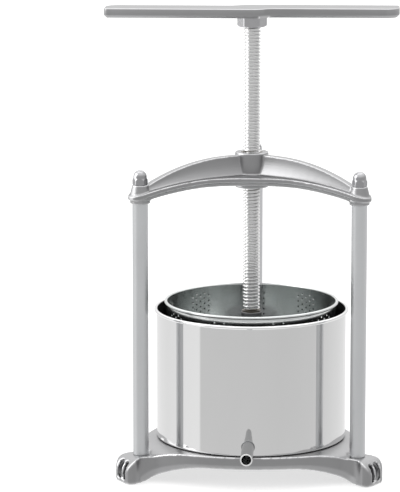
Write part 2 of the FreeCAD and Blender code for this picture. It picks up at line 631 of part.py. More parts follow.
def basket():
    inner = BASKET_RADIUS - BASKET_WALL
    wall = cylinder(BASKET_RADIUS, BASKET_BOTTOM, BASKET_TOP - BASKET_BEAD)
    bead = Part.makeTorus(BASKET_RADIUS - BASKET_WALL + BASKET_BEAD, BASKET_BEAD,
                          vec(0, 0, BASKET_TOP - BASKET_BEAD))
    body = wall.fuse(bead).cut(cylinder(inner, BASKET_BOTTOM - 1, BASKET_TOP - BASKET_BEAD))
    slot = Part.makeBox(2 * BASKET_RADIUS + 9, JUICE_SLOT_WIDTH, BASKET_FLOOR_RAISE - 4,
                        vec(-BASKET_RADIUS - 4.5, -JUICE_SLOT_WIDTH / 2, BASKET_BOTTOM + 1))
    for angle in (30, 90, 150):
        body = body.cut(turned(slot, angle))
    return body


def basket_floor():
    top = BASKET_FLOOR_BOTTOM + BASKET_FLOOR
    disc = cylinder(BASKET_RADIUS - BASKET_WALL - BASKET_FLOOR_FIT, BASKET_FLOOR_BOTTOM, top)
    holes = [cylinder(DRAIN_HOLE_RADIUS, BASKET_FLOOR_BOTTOM - 1, top + 1)]
    for row in range(1, DRAIN_ROWS + 1):
        for i in range(6 * row):
            angle = 2 * pi * i / (6 * row)
            r = row * DRAIN_ROW_STEP
            holes.append(cylinder(DRAIN_HOLE_RADIUS, BASKET_FLOOR_BOTTOM - 1, top + 1,
                                  r * cos(angle), r * sin(angle)))
    return disc.cut(Part.makeCompound(holes))


def build():
    nodes = {
        "base_casting": base_casting(),
        "column_washers": at_columns(column_washer),
        "column_bolts": at_columns(column_bolt),
        "column_studs": at_columns(column_stud),
        "dome_nuts": at_columns(dome_nut),
        "crossbar": crossbar(),
        "spindle_bush": spindle_bush(),
        "spindle": spindle(),
        "handle": handle(),
        "handle_lock_nut": handle_lock_nut(),
        "press_plate": press_plate(),
        "plate_hub": plate_hub(),
        "plate_screws": plate_screws(),
        "thrust_washer": thrust_washer(),
        "retaining_ring": retaining_ring(),
        "drum": drum(),
        "spout": spout(),
        "spout_collar": spout_collar(),
        "basket": basket(),
        "basket_floor": basket_floor(),
    }
    for name, angle in zip(ARM_NAMES, ARM_ANGLES):
        nodes["column_" + name] = column(angle)
    return nodes


os.makedirs("parts", exist_ok=True)
for node_name, shape in build().items():
    shape.exportStep("parts/" + node_name + ".step")
    box = shape.BoundBox
    print(node_name, len(shape.Solids), shape.isValid(), round(shape.Volume),
          [round(v, 1) for v in (box.XMin, box.XMax, box.YMin, box.YMax, box.ZMin, box.ZMax)])
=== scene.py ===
# %% [markdown]
# # A tabletop fruit press
# The press is a cast tripod base, three steel columns, an arched cast crossbar, a long screw with a
# stepped handle, and a perforated basket standing in a mirror-polished juice drum.  The packed
# model is true in size but plain.  It is loaded first, because it fixes where everything goes and
# what moves.  Each piece then gets a finer surface and a finish of its own.

# %% Load the frame
import bpy
import bmesh
import numpy as np
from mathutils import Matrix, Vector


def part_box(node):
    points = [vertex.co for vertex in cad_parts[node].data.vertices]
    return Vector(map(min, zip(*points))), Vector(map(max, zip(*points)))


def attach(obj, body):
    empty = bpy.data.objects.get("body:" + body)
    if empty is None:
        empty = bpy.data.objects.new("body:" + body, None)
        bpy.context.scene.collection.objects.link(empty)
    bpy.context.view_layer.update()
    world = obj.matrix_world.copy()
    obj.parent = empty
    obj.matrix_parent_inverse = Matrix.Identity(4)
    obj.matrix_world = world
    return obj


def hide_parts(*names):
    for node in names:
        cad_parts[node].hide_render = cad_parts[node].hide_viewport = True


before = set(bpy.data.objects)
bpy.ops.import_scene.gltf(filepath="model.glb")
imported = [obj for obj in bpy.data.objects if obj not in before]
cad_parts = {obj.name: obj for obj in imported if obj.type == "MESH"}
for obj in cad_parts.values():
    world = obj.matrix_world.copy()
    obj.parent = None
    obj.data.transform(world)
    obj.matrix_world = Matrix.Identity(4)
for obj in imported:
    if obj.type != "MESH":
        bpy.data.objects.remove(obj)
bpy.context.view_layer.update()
MM = 0.001
print("nodes:", len(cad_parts))


# %% [markdown]
# ## Meshes from arrays
# A mesh can be built point by point, or with modelling operators, but both are slow to run and hard
# to read back.  Here every new piece is a surface worked out on a grid as whole arrays.  One helper
# makes the faces of a grid.  Another turns points and faces into a mesh, welds its seams, drops the
# faces that came out empty and turns the rest outwards.

# %% Mesh helpers
SHARP_ANGLE = 50.0


def grid_faces(rows, columns, wrap=True, start=0):
    """Quads of a grid of rows x columns points; wrap joins the last column to the first."""
    row = np.arange(rows - 1)[:, None]
    column = np.arange(columns if wrap else columns - 1)[None, :]
    here = row * columns + column
    right = row * columns + (column + 1) % columns
    return np.stack([here, right, right + columns, here + columns], -1).reshape(-1, 4) + start


def make_piece(name, points, faces, body, slot, replaces=(), caps=(), weld=2e-6):
    """A smooth-shaded mesh from points in millimetres, quads and a few larger faces.

    The larger faces, caps, are lists of point numbers.  Points within weld metres become one."""
    mesh = bpy.data.meshes.new(name)
    sizes = np.concatenate([np.full(len(faces), 4), [len(cap) for cap in caps]]).astype(np.int32)
    corners = np.concatenate([faces.reshape(-1)]
                             + [np.asarray(cap) for cap in caps]).astype(np.int32)
    mesh.vertices.add(len(points))
    mesh.vertices.foreach_set("co", (points * MM).astype(np.float32).reshape(-1))
    mesh.loops.add(len(corners))
    mesh.loops.foreach_set("vertex_index", corners)
    mesh.polygons.add(len(sizes))
    mesh.polygons.foreach_set("loop_start",
                              np.concatenate([[0], np.cumsum(sizes)[:-1]]).astype(np.int32))
    mesh.polygons.foreach_set("loop_total", sizes)
    mesh.update(calc_edges=True)
    solid = bmesh.new()
    solid.from_mesh(mesh)
    bmesh.ops.remove_doubles(solid, verts=solid.verts, dist=weld)
    bmesh.ops.dissolve_degenerate(solid, edges=solid.edges, dist=weld / 2)
    bmesh.ops.delete(solid, geom=[v for v in solid.verts if not v.link_faces], context="VERTS")
    bmesh.ops.recalc_face_normals(solid, faces=solid.faces)
    solid.to_mesh(mesh)
    solid.free()
    mesh.polygons.foreach_set("use_smooth", np.ones(len(mesh.polygons), dtype=bool))
    mesh.set_sharp_from_angle(angle=np.radians(SHARP_ANGLE))
    piece = bpy.data.objects.new(name, mesh)
    bpy.context.scene.collection.objects.link(piece)
    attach(piece, body)
    if replaces:
        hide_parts(*replaces)
    print(name, len(mesh.vertices), "points,", len(mesh.polygons), "faces")
    return piece


def flatten_big_faces(piece):
    """Lets large faces keep their own normal, so that only the narrow rounds look round."""
    modifier = piece.modifiers.new("even_normals", "WEIGHTED_NORMAL")
    modifier.weight = 80
    modifier.keep_sharp = True


print("one square of a grid:", grid_faces(2, 2, wrap=False).tolist())


# %% [markdown]
# ## Profiles
# Most of the press is turned on a lathe, so most pieces are a profile spun round an axis.  A
# cylinder would be quicker, but its corners are razor sharp, and sharp corners catch no light.  So
# a profile is given as corner points, each with a radius, and a short arc is worked out for each
# corner.

# %% Profile helpers
def rounded(corners, steps=4):
    """Outline through (x, y, radius) corners: each corner becomes an arc that touches its sides.

    The arc's centre lies on the corner's bisector, radius / sine of half the angle away."""
    corners = np.array(corners, dtype=float)
    points = []
    for before, here, after in zip(np.roll(corners, 1, 0), corners, np.roll(corners, -1, 0)):
        point, radius = here[:2], here[2]
        to_before, to_after = before[:2] - point, after[:2] - point
        to_before = to_before / max(np.linalg.norm(to_before), 1e-9)
        to_after = to_after / max(np.linalg.norm(to_after), 1e-9)
        half = np.arccos(np.clip(to_before @ to_after, -1, 1)) / 2
        if radius == 0 or half < 0.02 or half > 1.56:
            points.append(point[None])
            continue
        bisector = to_before + to_after
        centre = point + bisector / np.linalg.norm(bisector) * radius / np.sin(half)
        first = point + to_before * radius / np.tan(half) - centre
        last = point + to_after * radius / np.tan(half) - centre
        share = np.linspace(0, 1, steps + 1)[:, None]
        sweep = np.pi - 2 * half
        arc = (first * np.sin((1 - share) * sweep) + last * np.sin(share * sweep)) / np.sin(sweep)
        points.append(centre + arc)
    return np.concatenate(points)


def spin(outline, segments=96, centre=(0.0, 0.0), angles=None):
    """Closed (radius, height) outline turned about an upright axis: x = r cos a, y = r sin a."""
    angle = np.linspace(0, 2 * np.pi, segments, endpoint=False) if angles is None else angles
    loop = np.concatenate([outline, outline[:1]])
    radius, height = loop[:, 0:1], loop[:, 1:2]
    points = np.stack([radius * np.cos(angle) + centre[0], radius * np.sin(angle) + centre[1],
                       height + 0 * angle], -1).reshape(-1, 3)
    return points, grid_faces(len(loop), len(angle))


def together(*surfaces):
    """Several (points, faces) pairs as one."""
    offsets = np.cumsum([0] + [len(points) for points, _ in surfaces[:-1]])
    points = np.concatenate([points for points, _ in surfaces])
    return points, np.concatenate([faces + offset for (_, faces), offset in zip(surfaces, offsets)])


def node_box(node):
    """Lowest and highest corner of a node, in millimetres."""
    return [np.array(corner, dtype=float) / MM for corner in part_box(node)]


print("column height:",
      round(node_box("column_left")[1][2] - node_box("column_left")[0][2], 1), "mm")


# %% [markdown]
# ## Shader maths as plain Python
# A procedural finish is a small formula.  It could be drawn as a chain of Math nodes, but a chain
# is hard to read back.  Wrapping a socket in a class lets the formula be written with ordinary
# operators, and each operator adds its own Math node.

# %% Maths on sockets
class Value:
    """A socket that adds, subtracts, multiplies and divides by making Math nodes."""

    def __init__(self, finish, socket):
        self.finish, self.socket = finish, socket

    def maths(self, operation, first, second):
        return self.finish.node("ShaderNodeMath", {"operation": operation}, {0: first, 1: second})

    def __add__(self, other):
        return self.maths("ADD", self, other)

    __radd__ = __add__

    def __sub__(self, other):
        return self.maths("SUBTRACT", self, other)

    def __rsub__(self, other):
        return self.maths("SUBTRACT", other, self)

    def __mul__(self, other):
        return self.maths("MULTIPLY", self, other)

    __rmul__ = __mul__

    def __truediv__(self, other):
        return self.maths("DIVIDE", self, other)


print("sockets now take + - * and /")


# %% [markdown]
# A finish is a tree of nodes, whether it belongs to a material or to the world.  One method makes
# any node from its type, its settings and what goes into its sockets.  What every metal needs, such
# as cloudy grain, a ramp and a bump, is a short method on top of that one.

# %% Nodes of a finish
class Finish:
    """A node tree, either of a material or of the world."""

    def __init__(self, owner):
        owner.use_nodes = True
        self.tree = owner.node_tree
        self.tree.nodes.clear()

    def node(self, kind, settings=None, inputs=None, output=0):
        """One node: its settings first, then the values or links of its sockets."""
        made = self.tree.nodes.new(kind)
        for key, value in (settings or {}).items():
            if key == "stops":
                ramp = made.color_ramp
                while len(ramp.elements) < len(value):
                    ramp.elements.new(1.0)
                for element, (place, tone) in zip(ramp.elements, value):
                    element.position = place
                    element.color = (tone, tone, tone, 1) if np.isscalar(tone) else (*tone, 1)
            elif key == "interpolation":
                made.color_ramp.interpolation = value
            else:
                setattr(made, key, value)
        for key, value in (inputs or {}).items():
            if isinstance(value, Value):
                self.tree.links.new(value.socket, made.inputs[key])
            else:
                made.inputs[key].default_value = value
        return Value(self, made.outputs[output]) if made.outputs else made

    def place(self, scale):
        """Object coordinates stretched by a scale for each axis, in repeats per metre."""
        here = self.node("ShaderNodeTexCoord", output="Object")
        return self.node("ShaderNodeMapping", {}, {"Vector": here, "Scale": scale})

    def grain(self, scale, detail=3.0, rough=0.55):
        """Cloudy noise from 0 to 1 at the given repeats per metre."""
        return self.node("ShaderNodeTexNoise", {}, {"Vector": self.place(scale), "Scale": 1.0,
                                                    "Detail": detail, "Roughness": rough})

    def ramp(self, value, stops, interpolation="LINEAR"):
        return self.node("ShaderNodeValToRGB",
                         {"interpolation": interpolation, "stops": stops}, {0: value})

    def tint(self, share, first, second):
        """Blend between two colours."""
        return self.node("ShaderNodeMix", {"data_type": "RGBA"},
                         {0: share, 6: (*first, 1), 7: (*second, 1)}, output=2)

    def bump(self, height, distance, strength=1.0):
        return self.node("ShaderNodeBump", {}, {"Height": height, "Distance": distance,
                                                "Strength": strength})


print("finish helpers: node, place, grain, ramp, tint and bump")


# %% [markdown]
# Bare metal is never one even grey: casting, machining and handling leave clouds in its tone,
# patches in its gloss and a fine grain.  An image would show its repeats, so noise in Object
# coordinates makes all three.  Stretching the grain tells a turned bar from a casting.

# %% Bare metal
def metal_finish(name, dark, light, rough, rough_spread, grain_scale, bump_depth, edge_wear_and_highlight=None):
    """A bare metal: cloudy tone between two colours, patchy roughness and a fine surface grain.

    The last argument is the colour laid on outward edges, where Pointiness, which is 0.5 on the flat,
    is higher: partly wear from handling and partly a painted highlight along the edges."""
    material = bpy.data.materials.new(name)
    finish = Finish(material)
    cloud = finish.grain((18, 18, 18), detail=4.0)
    fine = finish.grain(grain_scale, detail=2.0)
    handled = finish.grain((55, 55, 55), detail=5.0)
    tone = finish.tint(cloud * 0.7 + fine * 0.3, dark, light)
    roughness = (handled - 0.5) * rough_spread + (fine - 0.5) * rough_spread * 0.6 + rough
    if edge_wear_and_highlight is not None:
        # Painted highlight along the outward edges, partly also wear: where Pointiness is high the
        # tone turns to the edge colour and the gloss rises.
        pointy = finish.node("ShaderNodeNewGeometry", output="Pointiness")
        edge = finish.ramp(pointy, [(0.515, 0.0), (0.56, 1.0)]) * (0.6 + handled * 0.5)
        tone = finish.node("ShaderNodeMix", {"data_type": "RGBA"},
                           {0: edge, 6: tone, 7: (*edge_wear_and_highlight, 1)}, output=2)
        roughness = roughness - edge * 0.08
    shader = finish.node("ShaderNodeBsdfPrincipled", {},
                         {"Base Color": tone, "Metallic": 1.0, "Roughness": roughness,
                          "Normal": finish.bump(fine, bump_depth)})
    finish.node("ShaderNodeOutputMaterial", {}, {"Surface": shader})
    return material


print("bare metal finish ready")


# %% [markdown]
# ## The finishes
# The castings are tumbled aluminium, dull and slightly grainy, and their outward edges are lighter,
# partly from wear and partly as a painted highlight.  The columns are turned bar, so their grain runs
# round them.  The screw is rolled steel, the cap nuts are polished, and the basket is steel sheet
# with a soft, satin surface.  One metal could serve for all, but tone and gloss are what tells the
# pieces apart.

# %% Finishes
# The castings' last colour goes on their outward edges: partly wear, partly a painted highlight.
cast_aluminium = metal_finish("cast_aluminium", (0.30, 0.30, 0.305), (0.38, 0.38, 0.385), 0.32,
                              0.12, (1400, 1400, 1400), 0.00004, edge_wear_and_highlight=(0.74, 0.74, 0.75))
column_steel = metal_finish("column_steel", (0.62, 0.63, 0.64), (0.70, 0.71, 0.72), 0.36, 0.10,
                            (60, 60, 2600), 0.00001)
screw_steel = metal_finish("screw_steel", (0.66, 0.66, 0.66), (0.78, 0.78, 0.78), 0.24, 0.12,
                           (500, 500, 500), 0.00001)
fastener_steel = metal_finish("fastener_steel", (0.42, 0.42, 0.43), (0.52, 0.52, 0.53), 0.24, 0.10,
                              (900, 900, 900), 0.000006)
cap_steel = metal_finish("cap_steel", (0.36, 0.36, 0.37), (0.44, 0.44, 0.45), 0.13, 0.06,
                         (700, 700, 700), 0.000004)
hub_steel = metal_finish("hub_steel", (0.16, 0.16, 0.165), (0.24, 0.24, 0.245), 0.38, 0.12,
                         (80, 80, 1800), 0.00001)
bronze = metal_finish("bronze", (0.15, 0.135, 0.115), (0.22, 0.20, 0.17), 0.40, 0.14,
                      (90, 90, 1600), 0.00001)
satin_steel = metal_finish("satin_steel", (0.64, 0.66, 0.655), (0.72, 0.74, 0.735), 0.17, 0.08,
                           (900, 900, 40), 0.000004)
print("bare metals made, the duller of them:", hub_steel.name, "and", bronze.name)


# %% [markdown]
# The drum is polished outside only.  Inside, the sheet is duller and its colour far darker.  Two
# materials would mean sorting the faces by side, so one formula of the Object coordinates does both.
# The distance from the axis tells the two sides apart, and the height adds the corner at the foot,
# where the polished sheet curves in.

# %% The drum's two-sided finish
drum_steel = bpy.data.materials.new("drum_steel")
drum_finish = Finish(drum_steel)
drum_place = drum_finish.node("ShaderNodeTexCoord", output="Object")
flat_place = drum_finish.node("ShaderNodeVectorMath", {"operation": "MULTIPLY"},
                              {0: drum_place, 1: (1, 1, 0)})
from_axis = drum_finish.node("ShaderNodeVectorMath", {"operation": "LENGTH"},
                             {0: flat_place}, output=1)
RIM_TO_SHEET_MIDDLE, CORNER_HEIGHT, EDGE_SHARPNESS = 0.0035, 0.0014, 4000.0
sheet_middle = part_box("drum")[1][0] - RIM_TO_SHEET_MIDDLE
drum_split = drum_finish.node("ShaderNodeSeparateXYZ", {}, {0: drum_place})
drum_height = Value(drum_finish, drum_split.socket.node.outputs["Z"])
corner_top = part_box("drum")[0][2] + CORNER_HEIGHT
outer_wall = drum_finish.ramp((from_axis - sheet_middle) * EDGE_SHARPNESS + 0.5,
                              [(0.0, 0.0), (1.0, 1.0)])
foot_corner = drum_finish.ramp((corner_top - drum_height) * EDGE_SHARPNESS + 0.5,
                               [(0.0, 0.0), (1.0, 1.0)])
polished = outer_wall.maths("MAXIMUM", outer_wall, foot_corner)
haze = drum_finish.grain((30, 30, 8), detail=4.0)
outside = drum_finish.tint(haze, (0.80, 0.80, 0.80), (0.84, 0.84, 0.84))
inside = drum_finish.tint(haze, (0.09, 0.09, 0.092), (0.14, 0.14, 0.142))
drum_tone = drum_finish.node("ShaderNodeMix", {"data_type": "RGBA"},
                             {0: polished, 6: inside, 7: outside}, output=2)
drum_rough = 0.30 - polished * 0.25 + (haze - 0.5) * 0.03
drum_shader = drum_finish.node("ShaderNodeBsdfPrincipled", {},
                               {"Base Color": drum_tone, "Metallic": 1.0, "Roughness": drum_rough,
                                "Normal": drum_finish.bump(drum_finish.grain((240, 240, 12)),
                                                           0.000001)})
drum_finish.node("ShaderNodeOutputMaterial", {}, {"Surface": drum_shader})
print("two-sided drum finish, sheet middle at", round(sheet_middle, 4))


# %% [markdown]
# The outlet tube is drawn tube with a dull grey surface, and its cut end has been ground bright.
# It is one piece of metal, so it is one material.  How far a point lies behind the tube's tip tells
# the two surfaces apart.

# %% The outlet tube's finish
GROUND_END = 0.0005
tube_steel = bpy.data.materials.new("tube_steel")
tube_finish = Finish(tube_steel)
tube_split = tube_finish.node("ShaderNodeSeparateXYZ", {},
                              {0: tube_finish.node("ShaderNodeTexCoord", output="Object")})
from_tip = Value(tube_finish, tube_split.socket.node.outputs["Y"]) - float(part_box("spout")[0][1])
cut_end = tube_finish.ramp((GROUND_END - from_tip) * EDGE_SHARPNESS + 0.5, [(0.0, 0.0), (1.0, 1.0)])
tube_haze = tube_finish.grain((60, 900, 60), detail=3.0)
tube_side = tube_finish.tint(tube_haze, (0.25, 0.255, 0.26), (0.33, 0.335, 0.34))
tube_tone = tube_finish.node("ShaderNodeMix", {"data_type": "RGBA"},
                             {0: cut_end, 6: tube_side, 7: (0.92, 0.92, 0.92, 1)}, output=2)
tube_shader = tube_finish.node("ShaderNodeBsdfPrincipled", {},
                               {"Base Color": tube_tone, "Metallic": 1.0,
                                "Roughness": 0.2 + (tube_haze - 0.5) * 0.08 + cut_end * 0.2,
                                "Normal": tube_finish.bump(tube_haze, 0.000003)})
tube_finish.node("ShaderNodeOutputMaterial", {}, {"Surface": tube_shader})
print("finishes:", len(bpy.data.materials))


# %% [markdown]
# A finish goes on a piece through its first material slot.  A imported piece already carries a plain
# material, so the slots are emptied first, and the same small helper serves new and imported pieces.

# %% Coating helper
def coat(piece, material):
    """Gives a piece one material and hands the piece back."""
    piece.data.materials.clear()
    piece.data.materials.append(material)
    return piece


print("coat is ready")


# %% [markdown]
# ## Hidden small parts
# Washers, studs, bolts, screws, the bush, the ring and the basket's floor lie inside the press and
# hardly show.  They could be made anew like the rest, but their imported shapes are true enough
# there, so they only get a finish.

# %% Coat the carried-over parts
SMALL_PARTS = {"column_washers": fastener_steel, "column_bolts": fastener_steel,
               "column_studs": fastener_steel, "plate_screws": fastener_steel,
               "thrust_washer": bronze, "retaining_ring": hub_steel, "spindle_bush": bronze,
               "basket_floor": satin_steel}
for node, material in SMALL_PARTS.items():
    coat(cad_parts[node], material)
print("coated as packed:", len(SMALL_PARTS))


# %% [markdown]
# ## Columns
# Each column is a straight turned bar between base and crossbar.  A cylinder would give the outline
# but not the small chamfers that a lathe leaves at the ends.  A spun profile gives both.

# %% Columns
for side in ("left", "right", "rear"):
    low, high = node_box("column_" + side)
    radius = (high[0] - low[0]) / 2
    outline = rounded([(0, low[2], 0), (radius, low[2], 0.6), (radius, high[2], 0.6),
                       (0, high[2], 0)])
    points, faces = spin(outline, 96, ((low[0] + high[0]) / 2, (low[1] + high[1]) / 2))
    bar = make_piece("column_bar_" + side, points, faces, "frame", "column_steel",
                     ["column_" + side])
    flatten_big_faces(coat(bar, column_steel))


# %% [markdown]
# ## Hexagon nuts
# A nut is a hexagon whose corners are cut back by a cone, which leaves curved edges on its flats.
# A Boolean could cut them, but it leaves untidy faces where cone and flats meet.  In polar form the
# nut is one line: the radius is the smaller of the hexagon's and the cone's, so the curved edges
# appear by themselves.

# %% Nut surfaces
CORNER_WEAR = 0.012


def hexagon_radius(angle, flats):
    """Distance to a hexagon's edge: half the flats / cosine of the angle to the nearest flat.

    The corners lie on the x axis and are rubbed down a little, by CORNER_WEAR of their radius."""
    from_corner = (angle + np.pi / 6) % (np.pi / 3) - np.pi / 6
    from_flat = angle % (np.pi / 3) - np.pi / 6
    corner_limit = flats / np.sqrt(3) * (1 - CORNER_WEAR * np.cos(from_corner) ** 40)
    return np.minimum(flats / 2 / np.cos(from_flat), corner_limit)


def polar_rows(rows, flats, segments=120, centre=(0.0, 0.0)):
    """Surface over angle and row, for rows of (height, radius).

    At each height the radius is the smaller of the row's own and the hexagon's."""
    angle = np.linspace(0, 2 * np.pi, segments, endpoint=False)
    rows = np.array(rows, dtype=float)
    radius = np.minimum(hexagon_radius(angle, flats)[None, :], rows[:, 1:2])
    points = np.stack([radius * np.cos(angle) + centre[0], radius * np.sin(angle) + centre[1],
                       rows[:, 0:1] + 0 * angle], -1).reshape(-1, 3)
    return points, grid_faces(len(rows), segments)


def cone_rows(z_from, z_to, r_from, r_to, steps=5):
    """Rows of (height, radius) that go evenly from one pair to another, which is a cone."""
    share = np.linspace(0, 1, steps)[:, None]
    return np.hstack([z_from + (z_to - z_from) * share, r_from + (r_to - r_from) * share])


print("nut surfaces ready, corner wear", CORNER_WEAR)


# %% [markdown]
# The lock nut clamps the handle on the screw from below.  Only its lower side is chamfered, because
# its upper side lies flat against the casting.  So its rows are written out from the top down and
# back up through the bore.

# %% The lock nut under the handle
low, high = node_box("handle_lock_nut")
nut_flats = high[1] - low[1]
bore = 10.05
chamfer_rise, chamfer_spread = 2.6, 4.0
past_corners = nut_flats
rows = np.concatenate([
    [(high[2], bore)],
    cone_rows(high[2], low[2] + chamfer_rise, past_corners, past_corners, 6),
    cone_rows(low[2] + chamfer_rise, low[2], nut_flats / 2 + chamfer_spread,
              nut_flats / 2 - 0.4, 8),
    [(low[2], nut_flats / 2 - 0.5), (low[2], bore + 0.8), (low[2] + 0.8, bore), (high[2], bore)]])
lock_nut = make_piece("lock_nut", *polar_rows(rows, nut_flats), "screw", "fastener_steel",
                      ["handle_lock_nut"])
coat(lock_nut, fastener_steel)

# %% [markdown]
# A cap nut closes the top of each column.  It is a short hexagon with a dome turned on top.  The
# two could be separate shapes, but then the line between them would gape, so the rows of the
# hexagon run on into the rows of a quarter circle.  The three nuts are the same surface put over
# the three columns, as one piece.

# %% The three cap nuts
low, high = node_box("dome_nuts")
column_centres = []
for side in ("left", "right", "rear"):
    c_low, c_high = node_box("column_" + side)
    column_centres.append(((c_low[0] + c_high[0]) / 2, (c_low[1] + c_high[1]) / 2))
cap_flats = high[1] - low[1] - (column_centres[2][1] - column_centres[0][1])
dome = np.linspace(0, np.pi / 2, 14)
dome_radius = cap_flats / 2
cap_rows = np.concatenate([
    [(low[2], 0.0), (low[2], dome_radius - 0.3)],
    cone_rows(low[2], low[2] + 0.8, dome_radius, 8.6, 3),
    cone_rows(low[2] + 1.0, low[2] + 6.0, 9, 9, 4),
    cone_rows(low[2] + 6.2, low[2] + 8.0, 8.5, dome_radius, 5),
    np.stack([high[2] - dome_radius + dome_radius * np.sin(dome), dome_radius * np.cos(dome)], -1)])
caps = together(*[polar_rows(cap_rows, cap_flats, 96, centre) for centre in column_centres])
caps_piece = coat(make_piece("cap_nuts", *caps, "frame", "fastener_steel", ["dome_nuts"]),
                  cap_steel)


# %% [markdown]
# ## The screw
# The screw is a bar with a trapezoidal thread that climbs one pitch for each turn.  A stack of
# rings looks much the same from afar, but its lines lie level and do not slope.  So the surface is
# swept along the helix: the angle runs round and round, and across one pitch the radius goes root,
# flank, crest, flank.

# %% The threaded spindle
PITCH, THREAD_DEPTH, FLANK_ANGLE = 4.0, 2.25, 15.0
NECK_RADIUS = 6.0
END_BEVEL = 0.6
low, high = node_box("spindle")
crest_radius = (high[0] - low[0]) / 2
root_radius = crest_radius - THREAD_DEPTH
shoulder = node_box("thrust_washer")[1][2]
top = high[2]
flank = THREAD_DEPTH * np.tan(np.radians(FLANK_ANGLE))
land = (PITCH - 2 * flank) / 2
marks = np.array([0, 0.12, land - 0.12, land, land + 0.16, land + flank - 0.1, land + flank + 0.14,
                  2 * land + flank - 0.14, 2 * land + flank + 0.1, PITCH - 0.16, PITCH])
foot_depth = THREAD_DEPTH - 0.23
deep = np.array([0, 0, 0, 0.05, 0.6, foot_depth, THREAD_DEPTH, THREAD_DEPTH, foot_depth, 0.6, 0.05])
per_turn = 48
turns = int((top - shoulder) / PITCH) + 2
angle = np.arange(-per_turn, per_turn * turns + 1)[:, None] * (2 * np.pi / per_turn)
height = shoulder + PITCH * angle / (2 * np.pi) + marks[None, :]
radius = root_radius + deep[None, :] + 0 * angle
height = np.clip(height, shoulder, top)
from_end = np.minimum(height - shoulder, top - height)
radius = np.minimum(radius, root_radius - END_BEVEL + from_end)
helix = np.stack([radius * np.cos(angle), radius * np.sin(angle), height], -1).reshape(-1, 3)
neck = rounded([(0, low[2], 0), (NECK_RADIUS, low[2], END_BEVEL), (NECK_RADIUS, shoulder, 0),
                (root_radius - END_BEVEL, shoulder, 0), (0, shoulder, 0)])
lid = rounded([(0, top, 0), (root_radius - END_BEVEL, top, 0), (0, top - 0.2, 0)])
screw = make_piece("screw_thread",
                   *together((helix, grid_faces(len(angle), len(marks), wrap=False)),
                             spin(neck, per_turn), spin(lid, per_turn)),
                   "screw", "screw_steel", ["spindle"])
coat(screw, screw_steel)
print("turns of thread:", turns)


# %% [markdown]
# ## The handle
# The handle is a flat cast bar that steps sideways at the hub, the same seen from either end.  A
# curve with a bevel would round its upper and lower edges alike, but the casting has a wide slope
# below and a small round above.  So half of its plan is drawn with straight runs and arcs, the
# other half is that half turned round, and a section of its own is carried all the way round the
# edge.

# %% Plan helpers
def arc(centre_x, centre_y, radius, start, end, steps):
    """Points on an arc: centre + radius x (cosine, sine) of even steps, start to end in degrees."""
    angle = np.radians(np.linspace(start, end, steps + 1))
    return np.stack([centre_x + radius * np.cos(angle), centre_y + radius * np.sin(angle)], -1)


def inset(outline, amount):
    """A closed plan outline moved inwards along the normal at each point."""
    before, after = np.roll(outline, 1, 0), np.roll(outline, -1, 0)
    first, second = outline - before, after - outline
    first /= np.linalg.norm(first, axis=1)[:, None]
    second /= np.linalg.norm(second, axis=1)[:, None]
    middle = first + second
    normal = np.stack([-middle[:, 1], middle[:, 0]], -1)
    length = np.linalg.norm(normal, axis=1)[:, None]
    return outline + normal / length * (amount / (length / 2))


print("plan helpers: arc and inset")


# %% [markdown]
# Each blade is wide towards one side of the hub and narrow towards the other.  The two edges meet
# in an arc round the hub and a hollow arc beyond it, and where the two arcs touch is worked out
# from their radii.  A low crown, spun about the hub, closes the top.

# %% The handle bar
low, high = node_box("handle")
tip, lead = high[0], high[1]
trail, step, corner, blunt = 14.0, 20.0, 4.5, 16.0
CROWN = 1.6
swing = np.degrees(np.arccos((trail + step) / (lead + step)))
step_x = (lead + step) * np.sin(np.radians(swing))
half = np.concatenate([
    arc(-tip + corner, -lead + corner, corner, 180, 270, 8),
    arc(0, 0, lead, -90, -90 + swing, 12),
    arc(step_x, -trail - step, step, 90 + swing, 90, 12)[1:],
    arc(tip - blunt, -trail + blunt, blunt, 270, 360, 16)])
plan = np.concatenate([half, -half])
bar_top = high[2] - CROWN
section = rounded([(4.3, low[2], 0), (3.2, low[2], 0.5), (0, low[2] + 3.2, 1.2), (0, bar_top, 1.1),
                   (4.3, bar_top, 0)], 4)
rings = np.concatenate([np.hstack([inset(plan, amount), np.full((len(plan), 1), z)])
                        for amount, z in section])
count = len(plan)
floor_cap = np.arange(count)[::-1]
lid_cap = np.arange(count) + count * (len(section) - 1)
dome_r = np.linspace(0, lead - 3.0, 12)[::-1]
dome_swell = (1 + np.cos(np.pi * dome_r / dome_r[0])) / 2
dome_outline = np.stack([dome_r, bar_top - 0.05 + (CROWN + 0.05) * dome_swell], -1)
crown_points, crown_faces = spin(dome_outline, 96)
crown_faces = crown_faces[crown_faces.max(1) < 96 * len(dome_outline)]
grip = make_piece("handle_bar", *together((rings, grid_faces(len(section), count)),
                                          (crown_points, crown_faces)),
                  "screw", "cast_aluminium", ["handle"], caps=[floor_cap, lid_cap])
coat(grip, cast_aluminium)


# %% [markdown]
# ## Rounded castings
# The base and the crossbar are sand castings, so no edge on them is sharp.  The Bevel modifier
# could round them, but it fails where many short edges meet, as they do on ribs and bosses.  So a
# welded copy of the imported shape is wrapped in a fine, even skin, and the skin is relaxed a little:
# every edge and inner corner comes out rounded, the way metal fills a sand mould.

